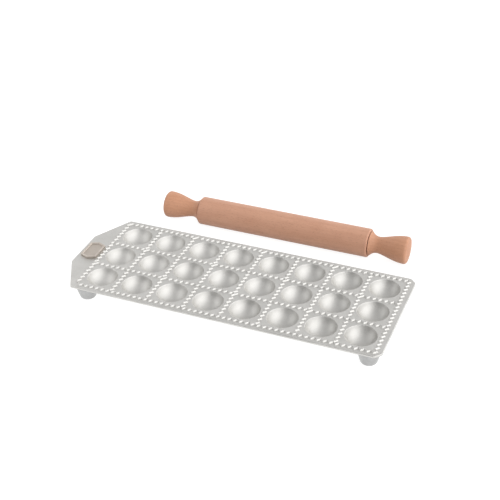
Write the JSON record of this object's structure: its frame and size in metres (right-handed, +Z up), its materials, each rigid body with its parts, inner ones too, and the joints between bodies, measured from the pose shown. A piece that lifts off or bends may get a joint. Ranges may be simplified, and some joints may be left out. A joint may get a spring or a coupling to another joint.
{
  "type": "ravioli mould",
  "caption": "Cast ravioli mould: a plate of round cups ringed by zigzag cutting ridges, with an end tab and tapered feet, and a wooden rolling pin that turns on a rod.",
  "frame": {"origin": "on the table, under the middle of the box round the mould and its rolling pin", "axes": "+X along the plate from its tab to its plain end, +Y from the mould towards the rolling pin, +Z up"},
  "size_m": [0.3434, 0.1952, 0.0306],
  "materials": {
    "cast_aluminium": "satin, fine blasted casting",
    "foot_grey": "turned smooth, soft polish",
    "steel": "bright zinc",
    "nickel_beige": "satin die casting",
    "beech_barrel": "turned and sanded, unvarnished",
    "beech_handle": "turned and sanded, unvarnished",
    "nylon": "plain"
  },
  "bodies": {
    "mould": {"mould_plate": "cast_aluminium", "foot_front_left": "foot_grey", "foot_front_right": "foot_grey", "foot_back_left": "foot_grey", "foot_back_right": "foot_grey", "foot_screw_front_left": "steel", "foot_screw_front_right": "steel", "foot_screw_back_left": "steel", "foot_screw_back_right": "steel", "badge": "nickel_beige", "badge_clip_front": "steel", "badge_clip_back": "steel"},
    "pin_frame": {"pin_axle": "steel", "pin_handle_left": "beech_handle", "pin_handle_right": "beech_handle"},
    "pin_roller": {"pin_barrel": "beech_barrel", "pin_bush_left": "nylon", "pin_bush_right": "nylon"}
  },
  "joints": [
    {"name": "pin_lift", "type": "slide", "parent": "mould", "child": "pin_frame", "axis": [0, 0, 1], "range_m": [0, 0.15]},
    {"name": "barrel_turn", "type": "hinge", "parent": "pin_frame", "child": "pin_roller", "pos_m": [0.00985, 0.0823, 0.0153], "axis": [1, 0, 0], "continuous": true}
  ]
}
